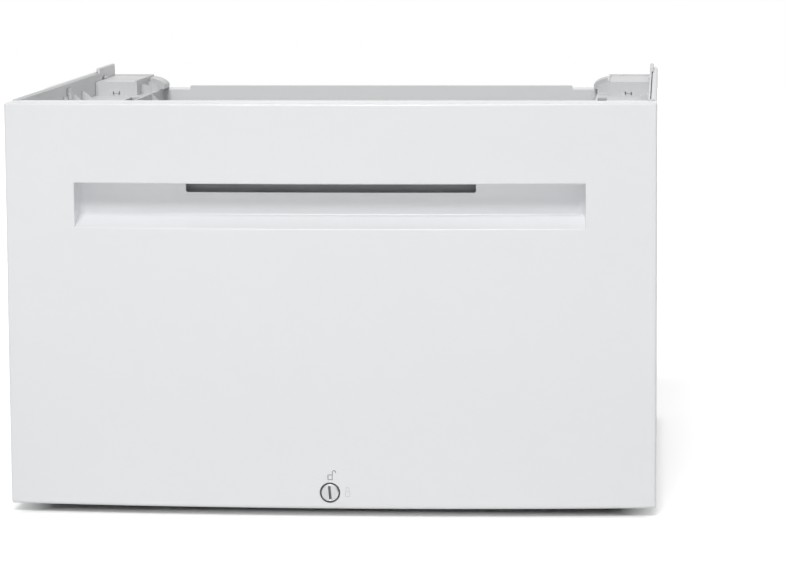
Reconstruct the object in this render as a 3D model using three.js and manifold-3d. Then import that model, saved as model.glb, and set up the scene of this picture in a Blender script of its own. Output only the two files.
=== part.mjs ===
// Pedestal with a pull-out drawer for a 60 cm washing machine, in millimetres.
// +Z is up, the drawer opens towards -Y, and the origin lies on the floor under the middle.
// Depths named d are counted from the ends of the bowed front, heights named w down from the wall top.
import * as THREE from 'three';
import { mergeVertices } from 'three/addons/utils/BufferGeometryUtils.js';
import Module from 'manifold-3d';

const wasm = await Module();
wasm.setup();

// ---- Driving dimensions -------------------------------------------------------------------

const FIT = 0.3; // gap between pieces that touch

const FRONT_WIDTH = 600;
const FRONT_HEIGHT = 374;
const FRONT_BOW = 15; // the middle of the front stands this far before its ends
const FRONT_WALL = 2.5; // moulded front shell
const FRONT_RIM = 30; // depth of the shell's rim behind its ends
const FRONT_EDGE = 2.5; // rounding of the outer edges
const BOSS_RADIUS = 5; // screw bosses inside the front
const BOSS_INSET = 45; // from the ends of the front
const BOSS_MARGIN = 32; // from the top and the bottom
const FLOOR_GAP = 8; // under the drawer front

const RECESS_WIDTH = 472; // grip recess
const RECESS_HEIGHT = 43;
const RECESS_DROP = 72.5; // from the top edge of the front
const RECESS_DEPTH = 24;
const RECESS_CORNER = 8.5; // upright corners between its back and its ends
const SCOOP_RISE = 10; // the sloped floor climbs this far towards the back
const SCOOP_START = 1.5; // behind the face
const SCOOP_RADIUS = 6;

const SLOT_WIDTH = 268; // finger slot under the recess ceiling
const SLOT_HEIGHT = 11;
const SLOT_CORNER = 2;
const POCKET_WALL = 1.8; // moulded finger pocket behind the slot
const POCKET_DEPTH = 11;
const POCKET_RISE = 20; // above the recess ceiling

const LOCK_RISE = 15.2; // lock centre above the bottom edge of the front
const LOCK_RING_RADIUS = 9.2;
const LOCK_HEAD_RADIUS = 8;
const LOCK_HEAD_DEPTH = 3.6;
const LOCK_PROUD = 1.2;
const LOCK_CORE_RADIUS = 4.7;
const LOCK_NOSE_RADIUS = 7;
const LOCK_FLANGE = 2; // width and thickness
const LOCK_NUT_FLATS = 20;
const LOCK_NUT_HEIGHT = 4.4;
const COIN_SLOT = [2, 12.5, 2.5]; // width, length, depth
const COIN_SLOT_TILT = 5; // degrees
const CAM_REACH = 16;
const CAM_WIDTH = 10;
const CAM_THICKNESS = 2;
const CAM_SCREW_RADIUS = 2;
const CAM_SCREW_HEAD = 4;
const CAM_SCREW_DEPTH = 7; // into the cylinder

const BODY_INSET = 1; // outer faces of the side walls behind the ends of the front
const BODY_GAP = 3; // between the front's rim and the carcass
const BODY_DEPTH = 517;
const BODY_BASE = 12; // underside of the carcass above the floor
const WALL_RISE = 1.5; // wall top above the drawer front
const WALL = 8; // whole thickness of a side wall
const SHEET = 1; // outer side panels, liner and drawer tray
const HEM_WIDTH = 5.2; // folded top edge of the side panel
const HEM_DROP = 14;
const BASE_FLANGE = 25; // inward flange under the side panel
const SKIN = 1.2; // inner wall skin, rear panel and rails
const SKIN_DROP = 1; // top of the inner skin below the hem
const SKIN_LIP_DROP = 6;
const HEM_GROOVE = 0.8; // between the hem and the skin
const TAB_RISE = 4; // tab on the skin, behind
const TAB_LENGTH = 93.5;
const TAB_WIDTH = 3.8;
const CLIP_SLOT = [29, 8.6]; // length and height of the slots for the clips
const CLIP_LENGTH = 16.5;
const CLIP_DROP = 9.5;
const CLIP_COUNT = 3;
const CLIP_TONGUE = 2; // height of the tongue that comes through the skin
const CLIP_LEG = 1.4; // thickness of the leg that stands on the moulding

const PANEL_DROP = 19.6; // top of the rear panel's raised middle below the wall top
const PANEL_STEP = 2.4;
const PANEL_RAISED = 415;
const PANEL_FLANGE = 7; // bent back from the panel's face
const PANEL_BEND = 2;

const RAIL_HEIGHT = 18; // base rails
const RAIL_DEPTH = 40;
const TOP_RAIL_HEIGHT = 28;
const TOP_RAIL_DEPTH = 24;
const TOP_RAIL_DROP = 10;

const SEAT_DROP = 9; // foot blocks below the wall top
const SEAT_WIDTH = 43.7;
const BLOCK_HEIGHT = 51;
const FRONT_BLOCK_DEPTH = 75;
const REAR_BLOCK_DEPTH = 114;
const BLOCK_SHELL = 2.5;
const BLOCK_TOP = 4;
const RIM_HEIGHT = 1.5;
const RIB = 2; // thickness of ribs and gussets
const SHELF_DROP = 23; // shelf between the blocks
const SHELF_SLOT = [52, 9.5]; // length and width of the slot in the shelf
const SHELF_SLOT_GAP = 31.5; // from the slot to the rear block
const GUSSET_DROP = 12.4;
const GUSSET_COUNT = 5;
const GUSSET_SLOPE = 40; // degrees
const GUSSET_ENDS = [0.72, 1.58]; // pitches from the gussets to the front and rear blocks
const SIDE_WALL_OFFSET = 54; // inboard wall of the moulding, from the inner skin
const ARCH_START = 27; // arched ribs beside the rear block, from its front
const ARCH_COUNT = 2;
const ARCH_PITCH = 45;
const ARCH_DROP = 12.6;
const ARCH_FALL = 5.4; // from the block to the inboard wall
const HUMP_REACH = 5; // past the inboard wall
const HUMP_DROP = 9.6;
const HUMP_FALL = 8;
const HUMP_DEPTH = 36;
const BRACE_WIDTH = 34;
const CATCH_WIDTH = 5; // catch on the front of the rear block, freed by a slit at each side
const CATCH_HEIGHT = 4;
const CATCH_SLIT = 1;
const CATCH_PROUD = 0.8;

const RUNNER_HEIGHT = 45;
const RUNNER_SHEET = 1.2;
const RUNNER_SPACE = 12.5; // between the inner skin and the tray
const RUNNER_CENTRE = 120; // above the floor
const RUNNER_START = 7; // behind the front of the carcass
const RUNNER_END = 53; // before the rear panel
const RUNNER_WEB_GAP = 2; // between the channels' flange tips and the webs they face

const TRAY_FLOOR = 42;
const TRAY_TOP_GAP = 13.5; // under the support mouldings
const TRAY_END = 35; // before the rear panel
const TRAY_HEM = [5, 8]; // width and drop of the rolled top edge
const BEAD_HEIGHT = 3;
const BEAD_WIDTH = 24;
const BEAD_COUNT = 3;
const BEAD_PITCH = 150;
const TRAY_FLANGE = 10; // to the front liner
const TRAY_FOOT = 12; // under the floor
const TRAY_BEND = 2;

const FOOT_INSET = 40; // from the outer face of the side panel
const FOOT_RADIUS = 18;
const FOOT_PAD_HEIGHT = 7;
const FOOT_NECK = 11; // radius of the pad's top
const STUD_RADIUS = 5;
const STUD_LENGTH = 22.5;
const NUT_FLATS = 17;
const NUT_HEIGHT = 8;

const BUFFER_RADIUS = 3;
const BUFFER_MARGINS = [48, 53]; // from the lower and the upper end of the wall
const BUFFER_U = 4.5; // from the outer face of the side panel

// ---- Derived places -----------------------------------------------------------------------

const BODY_START = FRONT_RIM + BODY_GAP;
const BODY_END = BODY_START + BODY_DEPTH;
const EDGE_Y = (FRONT_BOW + LOCK_PROUD - BODY_END) / 2; // y of the ends of the front
const at = (d) => EDGE_Y + d;

const HALF = FRONT_WIDTH / 2 - BODY_INSET;
const INNER = HALF - WALL; // inner face of a side wall
const left = (u) => -HALF + u; // u is counted inwards from the outer face of the left wall

const FRONT_TOP = FLOOR_GAP + FRONT_HEIGHT;
const WALL_TOP = FRONT_TOP + WALL_RISE;
const under = (w) => WALL_TOP - w;

const BOW_RADIUS = ((FRONT_WIDTH / 2) ** 2 + FRONT_BOW ** 2) / (2 * FRONT_BOW);
const bow = (x) => Math.sqrt(BOW_RADIUS ** 2 - x ** 2) - (BOW_RADIUS - FRONT_BOW);
const BOW_STEPS = 24;

const CEILING = FRONT_TOP - RECESS_DROP;
const LOCK_Z = FLOOR_GAP + LOCK_RISE;
const LINER_D = FRONT_RIM - 3; // front face of the liner
const LINER_BACK = LINER_D + SHEET;
const RAIL_BASE = BODY_BASE + SHEET + FIT;
const RAIL_TOP = RAIL_BASE + RAIL_HEIGHT;
const RAIL_D = BODY_START + 1;
const CAM_D = RAIL_D + SKIN + 1.5;
const BLOCK_BOTTOM = under(SEAT_DROP + BLOCK_HEIGHT);
const FRONT_BLOCK_D = BODY_START + SHEET + FIT;
const PANEL_D = BODY_END - PANEL_FLANGE; // face of the rear panel
const REAR_BLOCK_END = PANEL_D - FIT;
const REAR_BLOCK_D = REAR_BLOCK_END - REAR_BLOCK_DEPTH;
const RUNNER_D = BODY_START + RUNNER_START;
const TRAY_HALF = INNER - RUNNER_SPACE; // outer face of the tray's side
const TRAY_D = LINER_BACK + FIT + SHEET;
const TRAY_TOP = BLOCK_BOTTOM - TRAY_TOP_GAP;
const TRAY_LENGTH = PANEL_D - TRAY_END - TRAY_D;
const SIDE_WALL_U = WALL + SIDE_WALL_OFFSET + RIB / 2; // inboard face of the moulding's long wall
const SEAT_U = WALL + FIT;
const SEAT_END = SEAT_U + SEAT_WIDTH;

// ---- Making solids ------------------------------------------------------------------------

const ALONG_X = new THREE.Matrix4().makeBasis(
  new THREE.Vector3(0, 1, 0), new THREE.Vector3(0, 0, 1), new THREE.Vector3(1, 0, 0));
const ALONG_Y = new THREE.Matrix4().makeBasis(
  new THREE.Vector3(1, 0, 0), new THREE.Vector3(0, 0, 1), new THREE.Vector3(0, -1, 0));

// A closed geometry as a solid that can be joined and cut.
function solid(geometry) {
  geometry.deleteAttribute('normal');
  geometry.deleteAttribute('uv');
  const merged = mergeVertices(geometry, 1e-4);
  return new wasm.Manifold(new wasm.Mesh({
    numProp: 3,
    vertProperties: merged.attributes.position.array,
    triVerts: new Uint32Array(merged.index.array),
  }));
}

// A solid back as a geometry.
function surface(made) {
  const mesh = made.getMesh();
  const geometry = new THREE.BufferGeometry();
  geometry.setAttribute('position', new THREE.BufferAttribute(mesh.vertProperties, 3));
  geometry.setIndex(new THREE.BufferAttribute(mesh.triVerts, 1));
  geometry.computeVertexNormals();
  return geometry;
}

const join = (...solids) => solids.reduce((sum, next) => sum.add(next));
const cut = (made, ...tools) => tools.reduce((rest, tool) => rest.subtract(tool), made);

// Corners [x, y, radius] as a line of points with each corner rounded.
function rounded(corners, steps = 4, closed = true) {
  return corners.flatMap(([x, y, radius = 0], i) => {
    const end = !closed && (i === 0 || i === corners.length - 1);
    if (!radius || end) return [[x, y]];
    const corner = new THREE.Vector2(x, y);
    const towards = ([a, b]) => new THREE.Vector2(a, b).sub(corner).normalize();
    const back = towards(corners.at(i - 1));
    const on = towards(corners[(i + 1) % corners.length]);
    const half = Math.acos(back.dot(on)) / 2;
    const middle = back.clone().add(on).normalize();
    const centre = corner.clone().addScaledVector(middle, radius / Math.sin(half));
    const start = corner.clone().addScaledVector(back, radius / Math.tan(half)).sub(centre);
    const turn = (Math.PI - 2 * half) * Math.sign(back.cross(on)) * -1;
    return Array.from({ length: steps + 1 }, (_, k) => {
      const point = start.clone().rotateAround(new THREE.Vector2(), turn * k / steps).add(centre);
      return [point.x, point.y];
    });
  });
}

// The section of a folded sheet: an open path of corners [x, y, bend radius] with a thickness.
function folded(corners, thickness) {
  const path = rounded(corners, 3, false).map(([x, y]) => new THREE.Vector2(x, y));
  const across = (a, b) => new THREE.Vector2(a.y - b.y, b.x - a.x).normalize();
  const side = (sign) => path.map((point, i) => {
    const before = across(path[i - 1] ?? point, path[i - 1] ? point : path[i + 1]);
    const after = across(path[i + 1] ? point : path[i - 1], path[i + 1] ?? point);
    const normal = before.clone().add(after).normalize();
    const reach = sign * thickness / 2 / normal.dot(before);
    return [point.x + normal.x * reach, point.y + normal.y * reach];
  });
  return [...side(1), ...side(-1).reverse()];
}

function extruded(points, depth, options = {}) {
  const shape = new THREE.Shape(points.map(([x, y]) => new THREE.Vector2(x, y)));
  return new THREE.ExtrudeGeometry(shape, { depth, bevelEnabled: false, ...options });
}

// Prisms of an outline in (y, z), (x, z) and (x, y).
const alongX = (points, x0, x1, steps = 1) =>
  solid(extruded(points, x1 - x0, { steps }).applyMatrix4(ALONG_X).translate(x0, 0, 0));
const alongY = (points, y0, y1) =>
  solid(extruded(points, y1 - y0).applyMatrix4(ALONG_Y).translate(0, y1, 0));
const alongZ = (points, z0, z1) => solid(extruded(points, z1 - z0).translate(0, 0, z0));

function block(x0, x1, y0, y1, z0, z1) {
  const geometry = new THREE.BoxGeometry(x1 - x0, y1 - y0, z1 - z0);
  return solid(geometry.translate((x0 + x1) / 2, (y0 + y1) / 2, (z0 + z1) / 2));
}

// A bar along X that follows the bow of the front; its outline is in (d behind the face, z).
function bowed(points, x0, x1) {
  const steps = Math.ceil((x1 - x0) * BOW_STEPS / FRONT_WIDTH);
  const geometry = extruded(points, x1 - x0, { steps }).applyMatrix4(ALONG_X).translate(x0, 0, 0);
  const position = geometry.attributes.position;
  for (let i = 0; i < position.count; i += 1) {
    position.setY(i, at(position.getY(i)) - bow(position.getX(i)));
  }
  return solid(geometry);
}

// A turned piece: profile [radius, height] from the axis at one end to the axis at the other.
function turned(profile, sides = 24) {
  return new THREE.LatheGeometry(profile.map(([r, h]) => new THREE.Vector2(r, h)), sides);
}
const TURN_TO_Z = new THREE.Matrix4().makeRotationX(Math.PI / 2);

const hexagon = (flats) => Array.from({ length: 6 }, (_, i) => {
  const angle = Math.PI * i / 3;
  const radius = flats / 2 / Math.cos(Math.PI / 6);
  return [radius * Math.cos(angle), radius * Math.sin(angle)];
});

// Outline with half-round ends about (y, z).
function oblong(y, z, length, height) {
  const [a, b, radius] = [length / 2, height / 2, height / 2 - 0.01];
  return rounded([[y - a, z - b, radius], [y + a, z - b, radius], [y + a, z + b, radius],
    [y - a, z + b, radius]]);
}

// A round hole or pin along an axis, as a cutter or a shank.
function rod(radius, from, to, sides = 16) {
  const start = new THREE.Vector3(...from);
  const way = new THREE.Vector3(...to).sub(start);
  const geometry = new THREE.CylinderGeometry(radius, radius, way.length(), sides);
  const turn = new THREE.Quaternion().setFromUnitVectors(
    new THREE.Vector3(0, 1, 0), way.clone().normalize());
  return solid(geometry.applyQuaternion(turn)
    .translate(...start.addScaledVector(way, 0.5).toArray()));
}

// ---- Finishes and the scene ---------------------------------------------------------------

const finish = (color, roughness, metalness = 0) => () =>
  new THREE.MeshStandardMaterial({ color, roughness, metalness });
const gloss = finish(0xeceef0, 0.2); // moulded drawer front
const enamel = finish(0xe6e7e9, 0.35); // powder-coated sheet
const moulding = finish(0xd9dadc, 0.5); // glass-filled moulding
const pocketGrey = finish(0x8b8d90, 0.6);
const zinc = finish(0xb4b6b8, 0.35, 0.9);
const nickel = finish(0xc9cacc, 0.3, 0.8);
const rubber = finish(0x3a3b3d, 0.8);

const pedestal = new THREE.Group();
const carcass = new THREE.Group();
const drawer = new THREE.Group();
const lock = new THREE.Group();
pedestal.add(carcass, drawer);
drawer.add(lock);

function place(group, name, made, material) {
  const mesh = new THREE.Mesh(made.isBufferGeometry ? made : surface(made), material());
  mesh.name = name;
  group.add(mesh);
  return mesh;
}

// A left-hand piece and its mirror image on the right.
function pair(group, name, made, material) {
  place(group, `${name}_left`, made, material);
  place(group, `${name}_right`, made, material).scale.x = -1;
}

// ---- Side walls ---------------------------------------------------------------------------

function sidePanel() {
  const mid = SHEET / 2;
  const section = folded([
    [left(HEM_WIDTH - mid), under(HEM_DROP)],
    [left(HEM_WIDTH - mid), under(mid), 1],
    [left(mid), under(mid), 2.2],
    [left(mid), BODY_BASE + mid, 1.5],
    [left(BASE_FLANGE), BODY_BASE + mid],
  ], SHEET);
  // The ends turn in across the wall and close it in front and behind.
  const end = rounded([
    [left(mid), BODY_BASE + mid, 1.5], [left(WALL), BODY_BASE + mid],
    [left(WALL), under(mid), 1], [left(mid), under(mid), 2.2],
  ], 3);
  return join(
    alongY(section, at(BODY_START + mid), at(BODY_END - mid)),
    alongY(end, at(BODY_START), at(BODY_START + SHEET)),
    alongY(end, at(BODY_END - SHEET), at(BODY_END)),
  );
}

// The outer clips sit beside the middles of the foot blocks, the others evenly between them.
const CLIP_DEPTHS = Array.from({ length: CLIP_COUNT }, (_, i) => THREE.MathUtils.lerp(
  FRONT_BLOCK_D + FRONT_BLOCK_DEPTH / 2, REAR_BLOCK_D + REAR_BLOCK_DEPTH / 2, i / (CLIP_COUNT - 1)));

function innerSkin() {
  const start = at(BODY_START + SHEET + FIT);
  const end = at(BODY_END - SHEET - FIT);
  const lip = HEM_WIDTH + HEM_GROOVE;
  const section = rounded([
    [left(lip), under(SKIN_DROP), 0.5], [left(WALL), under(SKIN_DROP), 0.8],
    [left(WALL), RAIL_BASE], [left(WALL - SKIN), RAIL_BASE],
    [left(WALL - SKIN), under(SKIN_LIP_DROP)], [left(lip), under(SKIN_LIP_DROP)],
  ], 2);
  // The tab stands on the lip and leans over the hem.
  const tab = rounded([
    [left(WALL), under(SKIN_DROP + 1)], [left(WALL), under(-TAB_RISE), 1.5],
    [left(WALL - TAB_WIDTH), under(-TAB_RISE), 1.5], [left(WALL - TAB_WIDTH), under(-FIT)],
    [left(lip), under(-FIT)], [left(lip), under(SKIN_DROP + 1)],
  ], 3);
  const slots = CLIP_DEPTHS.map((d) => alongX(
    oblong(at(d), under(CLIP_DROP), ...CLIP_SLOT), left(WALL - 2 * SKIN), left(WALL + SKIN)));
  return cut(join(alongY(section, start, end), alongY(tab, end - TAB_LENGTH, end)), ...slots);
}

// A clip that snaps into the rear of a slot in the skin. Its tongue reaches over the foot block,
// and between the blocks a leg goes on from there down to the shelf.
function wallClip(d) {
  const [length, height] = CLIP_SLOT;
  const end = d + length / 2 - FIT;
  const start = end - CLIP_LENGTH;
  const low = under(CLIP_DROP + height / 2 - FIT);
  const high = under(CLIP_DROP - height / 2 + FIT);
  const round = height / 2 - 2 * FIT;
  const hook = alongX(rounded([
    [at(start), low, 1], [at(end), low, round], [at(end), high, round], [at(start), high, 1],
  ], 3), left(WALL - 1.5 * SKIN), left(WALL));
  const atBlock = end > REAR_BLOCK_D || start < FRONT_BLOCK_D + FRONT_BLOCK_DEPTH;
  const foot = under((atBlock ? SEAT_DROP : SHELF_DROP) - FIT);
  const piece = (u, z0, z1) =>
    block(left(u), left(SEAT_U + CLIP_LEG), at(start), at(end - round), z0, z1);
  return atBlock
    ? join(hook, piece(WALL - 1, foot, high - 1))
    : join(hook, piece(WALL - 1, low, low + CLIP_TONGUE), piece(SEAT_U, foot, low + 1));
}

pair(carcass, 'side_panel', sidePanel(), enamel);
pair(carcass, 'inner_skin', innerSkin(), enamel);
CLIP_DEPTHS.forEach((d, i) => pair(carcass, `wall_clip_${i + 1}`, wallClip(d), moulding));

// ---- Rear panel and cross rails -----------------------------------------------------------

const REACH = INNER - FIT; // half the width of what stands between the side walls

// Its middle stands up straight; beside it the top edge is bent back.
function rearPanel() {
  const mid = SKIN / 2;
  const low = PANEL_DROP + PANEL_STEP;
  const bent = alongX(folded([
    [at(PANEL_D + mid), under(low + PANEL_FLANGE)], [at(PANEL_D + mid), under(low + mid), PANEL_BEND],
    [at(BODY_END), under(low + mid)],
  ], SKIN), -REACH, -PANEL_RAISED / 2);
  const raised = rounded([
    [-PANEL_RAISED / 2, under(low + PANEL_FLANGE)], [PANEL_RAISED / 2, under(low + PANEL_FLANGE)],
    [PANEL_RAISED / 2, under(PANEL_DROP), 1.5], [-PANEL_RAISED / 2, under(PANEL_DROP), 1.5],
  ]);
  const face = block(-REACH, REACH, at(PANEL_D), at(PANEL_D + SKIN), RAIL_BASE, under(low + PANEL_BEND + 1));
  const side = block(-REACH, -REACH + SKIN, at(PANEL_D - RAIL_DEPTH / 2), at(PANEL_D + mid),
    RAIL_TOP + 1, BLOCK_BOTTOM - 1);
  return join(face, alongY(raised, at(PANEL_D), at(PANEL_D + SKIN)),
    bent, bent.mirror([1, 0, 0]), side, side.mirror([1, 0, 0]));
}

// Channel rail: its web stands at depth d and its flanges run from there by reach.
function channel(d, reach, z0, z1, half) {
  const way = Math.sign(reach);
  const mid = SKIN / 2;
  return alongX(folded([
    [at(d + reach), z0 + mid], [at(d + way * mid), z0 + mid, 1.5],
    [at(d + way * mid), z1 - mid, 1.5], [at(d + reach), z1 - mid],
  ], SKIN), -half, half);
}

const FOOT_X = HALF - FOOT_INSET;
const FOOT_DEPTHS = { front: RAIL_D + RAIL_DEPTH / 2, rear: PANEL_D - FIT - RAIL_DEPTH / 2 };
const studHoles = (d) => [-FOOT_X, FOOT_X].map((x) =>
  rod(STUD_RADIUS + FIT, [x, at(d), RAIL_BASE - 1], [x, at(d), RAIL_BASE + SKIN + 1]));

function baseRailFront() {
  const rail = channel(RAIL_D, RAIL_DEPTH, RAIL_BASE, RAIL_TOP, REACH);
  const half = CAM_WIDTH / 2 + 1;
  // The lock passes the notch, and its cam swings through the window behind it.
  const notch = block(-half, half, at(RAIL_D - 1), at(CAM_D + 5), LOCK_Z - half, RAIL_TOP + 1);
  const window = block(-half, CAM_REACH + 1, at(RAIL_D + SKIN), at(CAM_D + 5), LOCK_Z, RAIL_TOP + 1);
  return cut(rail, notch, window, ...studHoles(FOOT_DEPTHS.front));
}

const baseRailRear = () => cut(
  channel(PANEL_D - FIT, -RAIL_DEPTH, RAIL_BASE, RAIL_TOP, REACH),
  ...studHoles(FOOT_DEPTHS.rear));

const topRail = () => channel(RAIL_D + 2, TOP_RAIL_DEPTH, under(TOP_RAIL_DROP + TOP_RAIL_HEIGHT),
  under(TOP_RAIL_DROP), REACH - SEAT_WIDTH - FIT);

place(carcass, 'rear_panel', rearPanel(), enamel);
place(carcass, 'base_rail_front', baseRailFront(), zinc);
place(carcass, 'base_rail_rear', baseRailRear(), zinc);
place(carcass, 'top_rail_front', topRail(), enamel);

// ---- Support moulding ---------------------------------------------------------------------
// One moulding along each wall carries the machine's front and rear feet. Its hollow blocks are
// ribbed inside and joined by a shelf with an inboard wall; gussets brace the shelf against the
// skin, and arched ribs lead down from the rear block to the inboard wall.

// Box of the moulding from the wall to u1, from its underside up to a drop.
const footBlock = (u1, d0, d1, drop) =>
  block(left(SEAT_U), left(u1), at(d0), at(d1), BLOCK_BOTTOM, under(drop));

// Chambers that hollow a box from below, with ribs between them.
function chambers(u1, d0, d1, drop, count) {
  const pitch = (d1 - d0 - BLOCK_SHELL) / count;
  return Array.from({ length: count }, (_, i) => block(
    left(SEAT_U + BLOCK_SHELL), left(u1 - BLOCK_SHELL),
    at(d0 + BLOCK_SHELL + pitch * i), at(d0 + pitch * (i + 1)),
    BLOCK_BOTTOM - 1, under(drop + BLOCK_TOP)));
}

const rim = (u0, u1, d0, d1) =>
  block(left(u0), left(u1), at(d0), at(d1), under(SEAT_DROP + 1), under(SEAT_DROP - RIM_HEIGHT));

// Plate across the moulding: an outline in (u, w) at depth d.
const plate = (points, d, thickness) =>
  alongY(points.map(([u, w]) => [left(u), under(w)]), at(d), at(d + thickness));

// Outline that curves down from the side of the block to u1 and ends at the base.
function arch(u1, top, fall, base) {
  const curve = new THREE.QuadraticBezierCurve(new THREE.Vector2(SEAT_END, top),
    new THREE.Vector2(SEAT_END + 0.8 * (u1 - SEAT_END), top + 0.2 * fall),
    new THREE.Vector2(u1, top + fall));
  return [...curve.getPoints(6).map((p) => [p.x, p.y]), [u1, base],
    [SEAT_END - RIB, base], [SEAT_END - RIB, top]];
}

function supportRail() {
  const wallU = SIDE_WALL_U;
  const base = SEAT_DROP + BLOCK_HEIGHT;
  const frontEnd = FRONT_BLOCK_D + FRONT_BLOCK_DEPTH;

  const [lead, rest] = GUSSET_ENDS;
  const gussetPitch = (REAR_BLOCK_D - frontEnd) / (GUSSET_COUNT - 1 + lead + rest);
  const gussetFoot = SEAT_U + (SHELF_DROP - GUSSET_DROP) / Math.tan(GUSSET_SLOPE * Math.PI / 180);
  const gussets = Array.from({ length: GUSSET_COUNT }, (_, i) => plate([
    [SEAT_U, GUSSET_DROP], [gussetFoot, SHELF_DROP], [gussetFoot, SHELF_DROP + 1],
    [SEAT_U, SHELF_DROP + 1],
  ], frontEnd + gussetPitch * (lead + i), RIB));

  const archD = REAR_BLOCK_D + ARCH_START;
  const arches = Array.from({ length: ARCH_COUNT }, (_, i) =>
    plate(arch(wallU, ARCH_DROP, ARCH_FALL, SHELF_DROP + 1), archD + ARCH_PITCH * i, RIB));
  // The hump caps the end of the inboard wall and reaches over the rear panel's bent edge.
  const humpEnd = BODY_END - 2;
  const humpD = humpEnd - HUMP_DEPTH;
  const humpBase = PANEL_DROP + PANEL_STEP - FIT;
  const hump = join(
    plate(arch(wallU + HUMP_REACH, HUMP_DROP, HUMP_FALL, humpBase), humpD, HUMP_DEPTH),
    block(left(SEAT_END - RIB), left(wallU), at(humpD), at(REAR_BLOCK_END),
      under(SHELF_DROP + 1), under(humpBase - 1)));
  const humpHollow = block(left(SEAT_END), left(wallU - RIB), at(humpD + RIB),
    at(REAR_BLOCK_END - RIB), BLOCK_BOTTOM - 1, under(HUMP_DROP + HUMP_FALL));

  const shelf = block(left(SEAT_U), left(wallU), at(frontEnd - 1), at(REAR_BLOCK_END),
    under(SHELF_DROP + BLOCK_SHELL), under(SHELF_DROP));
  const inboard = block(left(wallU - RIB), left(wallU), at(frontEnd - 1), at(REAR_BLOCK_END),
    BLOCK_BOTTOM, under(SHELF_DROP));
  const web = block(left(SEAT_U), left(SEAT_U + BLOCK_SHELL), at(frontEnd - 1), at(REAR_BLOCK_D + 1),
    BLOCK_BOTTOM, under(SHELF_DROP));
  const [slotLength, slotWidth] = SHELF_SLOT;
  const slotU = wallU - RIB - slotWidth;
  const slot = alongZ(rounded([
    [left(slotU), at(REAR_BLOCK_D - SHELF_SLOT_GAP - slotLength), 1],
    [left(slotU + slotWidth), at(REAR_BLOCK_D - SHELF_SLOT_GAP - slotLength), 1],
    [left(slotU + slotWidth), at(REAR_BLOCK_D - SHELF_SLOT_GAP), 1],
    [left(slotU), at(REAR_BLOCK_D - SHELF_SLOT_GAP), 1],
  ], 2), under(SHELF_DROP + BLOCK_SHELL + 1), under(SHELF_DROP - 1));
  const brace = plate([
    [wallU - 1, SHELF_DROP], [wallU, SHELF_DROP], [wallU + BRACE_WIDTH, base - RIB],
    [wallU + BRACE_WIDTH, base], [wallU - 1, base],
  ], archD, RIB);

  const catchU = SEAT_U + (SEAT_WIDTH - CATCH_WIDTH) / 2 - CATCH_SLIT;
  const slit = (u) => block(left(u), left(u + CATCH_SLIT), at(REAR_BLOCK_D - 1),
    at(REAR_BLOCK_D + BLOCK_SHELL + 1), under(SHELF_DROP - 0.5), under(SHELF_DROP - CATCH_HEIGHT));
  const boss = block(left(catchU + CATCH_SLIT), left(catchU + CATCH_SLIT + CATCH_WIDTH),
    at(REAR_BLOCK_D - CATCH_PROUD), at(REAR_BLOCK_D + 1), under(SHELF_DROP - CATCH_HEIGHT + 1.5),
    under(SHELF_DROP - CATCH_HEIGHT));

  return cut(join(
    footBlock(SEAT_END, REAR_BLOCK_D, REAR_BLOCK_END, SEAT_DROP),
    footBlock(SEAT_END, FRONT_BLOCK_D, frontEnd, SEAT_DROP),
    shelf, web, inboard, boss, hump, brace, ...gussets, ...arches,
    rim(SEAT_END - RIB, SEAT_END, REAR_BLOCK_D, REAR_BLOCK_END),
    rim(SEAT_U, SEAT_END, REAR_BLOCK_END - RIB, REAR_BLOCK_END),
    rim(SEAT_END - RIB, SEAT_END, FRONT_BLOCK_D, frontEnd),
    rim(SEAT_U, SEAT_END, FRONT_BLOCK_D, FRONT_BLOCK_D + RIB),
  ),
  ...chambers(SEAT_END, REAR_BLOCK_D, REAR_BLOCK_END, SEAT_DROP, 3),
  ...chambers(SEAT_END, FRONT_BLOCK_D, frontEnd, SEAT_DROP, 2),
  humpHollow, slot, slit(catchU), slit(catchU + CATCH_SLIT + CATCH_WIDTH));
}

pair(carcass, 'support_rail', supportRail(), moulding);

// ---- Runners ------------------------------------------------------------------------------
// Three nested channels on each side: on the wall, between, and on the tray.

// Channel in (x, z): web between two distances from the inner skin, flanges on to a third.
function member(web, tip, height) {
  const mid = RUNNER_SHEET / 2;
  const way = Math.sign(tip - web);
  const x = (u) => -INNER + u;
  return alongY(folded([
    [x(tip), RUNNER_CENTRE + height / 2 - mid],
    [x(web + way * mid), RUNNER_CENTRE + height / 2 - mid, 1.5],
    [x(web + way * mid), RUNNER_CENTRE - height / 2 + mid, 1.5],
    [x(tip), RUNNER_CENTRE - height / 2 + mid],
  ], RUNNER_SHEET), at(RUNNER_D), at(PANEL_D - RUNNER_END));
}

const nest = 2 * (RUNNER_SHEET + FIT); // each channel is this much lower than the one around it
const middle = new THREE.Group();
pedestal.add(middle);
pair(carcass, 'runner_outer', member(FIT, RUNNER_SPACE - RUNNER_WEB_GAP, RUNNER_HEIGHT), zinc);
pair(middle, 'runner_middle', member(
  RUNNER_SHEET + RUNNER_WEB_GAP, RUNNER_SPACE - RUNNER_SHEET - FIT, RUNNER_HEIGHT - nest), zinc);
pair(drawer, 'runner_inner', member(
  RUNNER_SPACE - FIT, 2 * RUNNER_SHEET + 1.5 * RUNNER_WEB_GAP, RUNNER_HEIGHT - 2 * nest), zinc);

// ---- Levelling feet -----------------------------------------------------------------------

function foot(x, d) {
  const pad = [
    [0, 0], [FOOT_RADIUS - 1.5, 0], [FOOT_RADIUS, 1.5], [FOOT_RADIUS - 0.5, FOOT_PAD_HEIGHT / 2],
    [FOOT_NECK, FOOT_PAD_HEIGHT], [0, FOOT_PAD_HEIGHT],
  ];
  return solid(turned(pad).applyMatrix4(TURN_TO_Z).translate(x, at(d), 0));
}

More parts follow.
